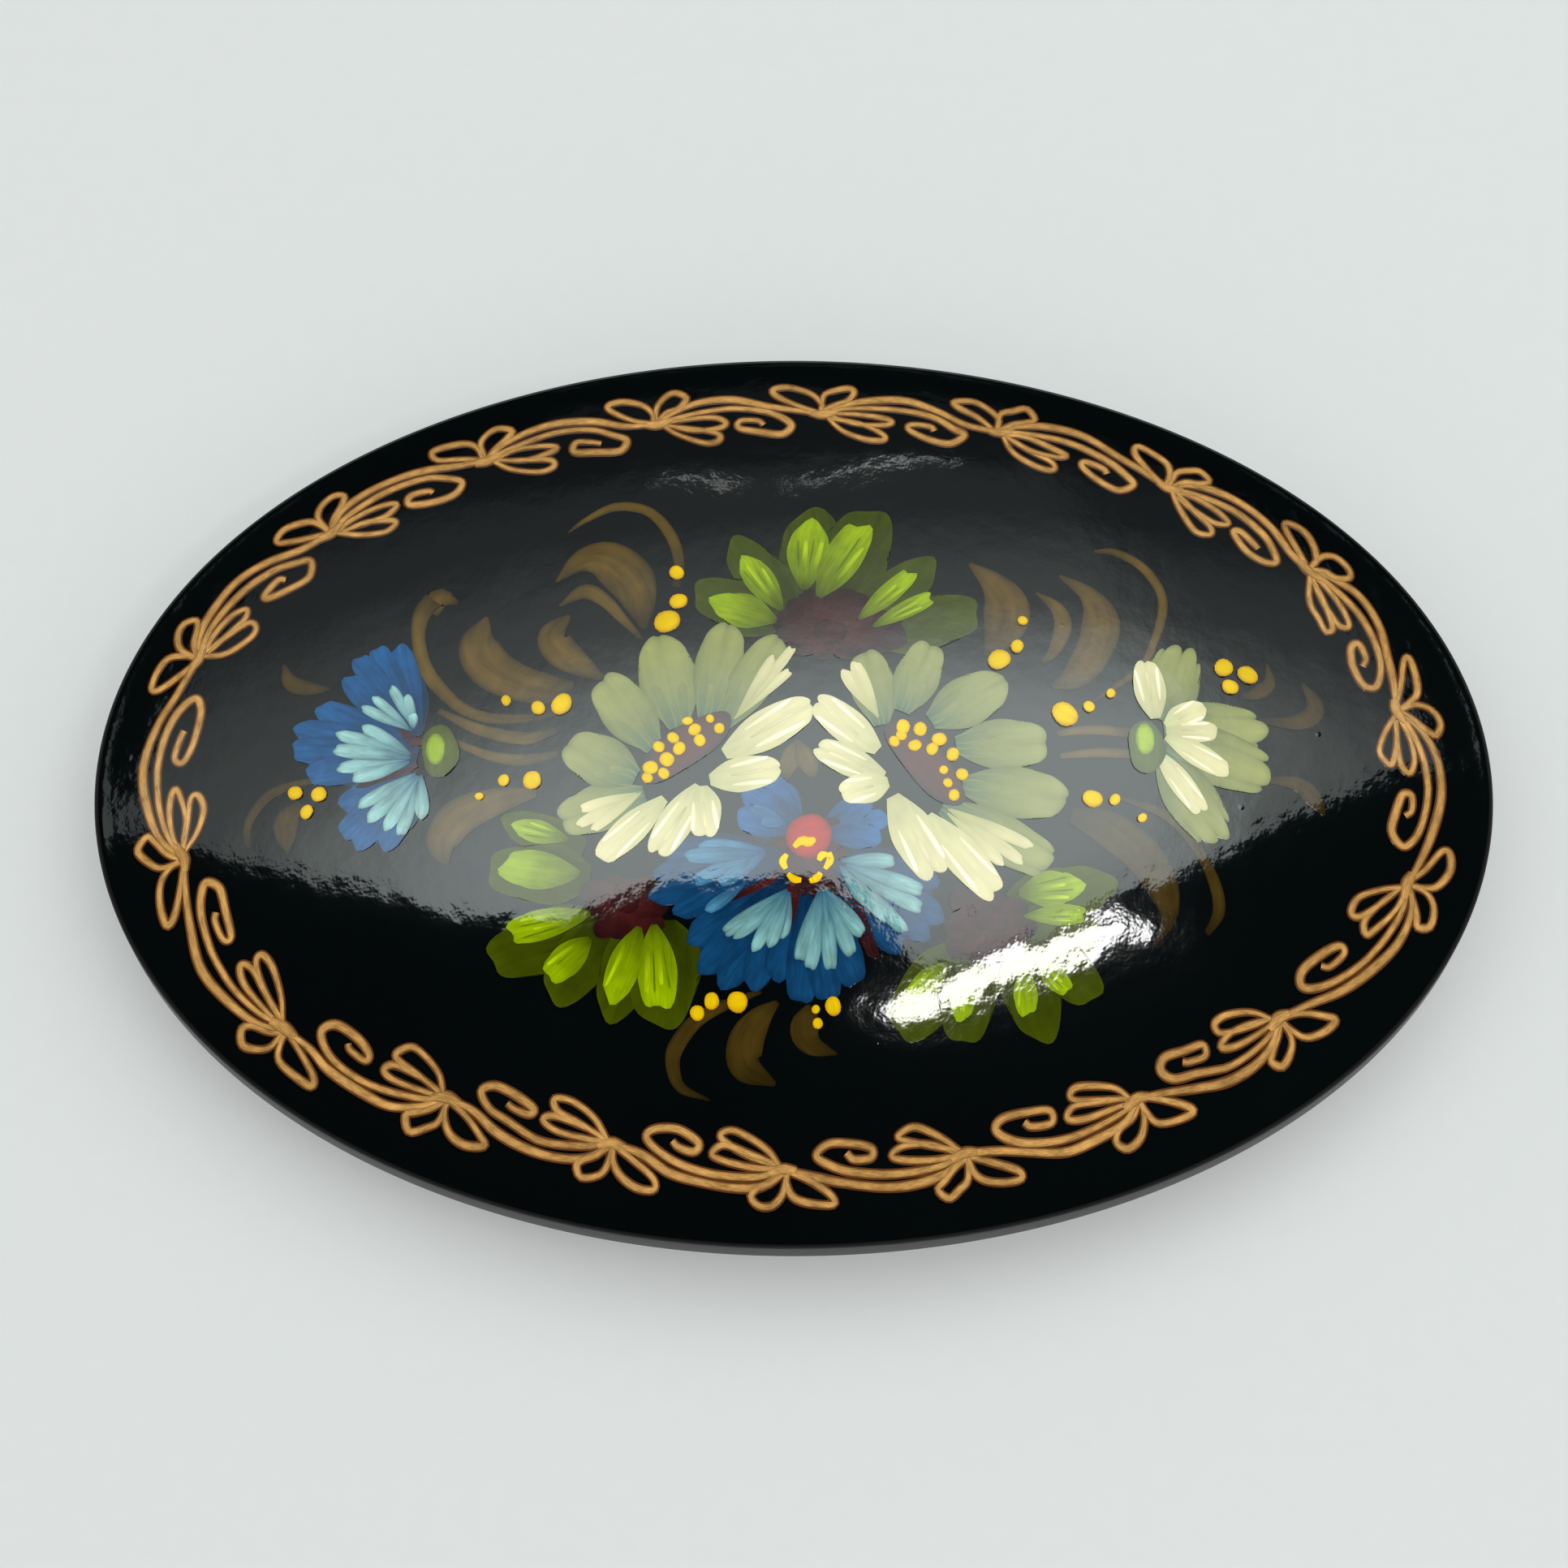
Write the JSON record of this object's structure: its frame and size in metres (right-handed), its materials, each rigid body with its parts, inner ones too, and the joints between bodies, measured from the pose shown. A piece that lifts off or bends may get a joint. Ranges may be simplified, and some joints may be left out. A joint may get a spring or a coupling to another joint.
{
  "type": "painted lacquer brooch",
  "caption": "Oval domed brooch in black lacquer with a hand-painted bouquet and a gold vine border, on a bar pin with a turning safety catch.",
  "frame": {"origin": "on the surface the brooch stands on, below the middle of the oval", "axes": "+X along the oval's length from the hinge to the catch, +Y to the top of the bouquet, +Z out of the painted face"},
  "size_m": [0.07, 0.046, 0.0139],
  "materials": {
    "black_lacquer": "deep black gloss lacquer over papier-mache, polished",
    "back_lacquer": "black brushed lacquer on papier-mache board",
    "clear_glue": "amber cured adhesive",
    "plated_steel": "nickel plated, lightly worn",
    "rivet_metal": "nickel plated, polished",
    "spring_wire": "drawn and ground steel wire"
  },
  "bodies": {
    "brooch": {"dome_shell": "black_lacquer", "back_board": "back_lacquer", "glue_bed": "clear_glue", "pin_bar": "plated_steel", "hinge_bracket": "plated_steel", "hinge_rivet": "rivet_metal", "catch_housing": "plated_steel"},
    "pin": {"pin_stem": "spring_wire"},
    "collar": {"catch_rotor": "rivet_metal"}
  },
  "joints": [
    {"name": "pin_hinge", "type": "hinge", "parent": "brooch", "child": "pin", "pos_m": [-0.0145, 0, 0.0019], "axis": [0, 1, 0], "range_deg": [0, 95]},
    {"name": "collar_turn", "type": "hinge", "parent": "brooch", "child": "collar", "pos_m": [0.0142, 0, 0.0019], "axis": [1, 0, 0], "range_deg": [0, 85]}
  ]
}
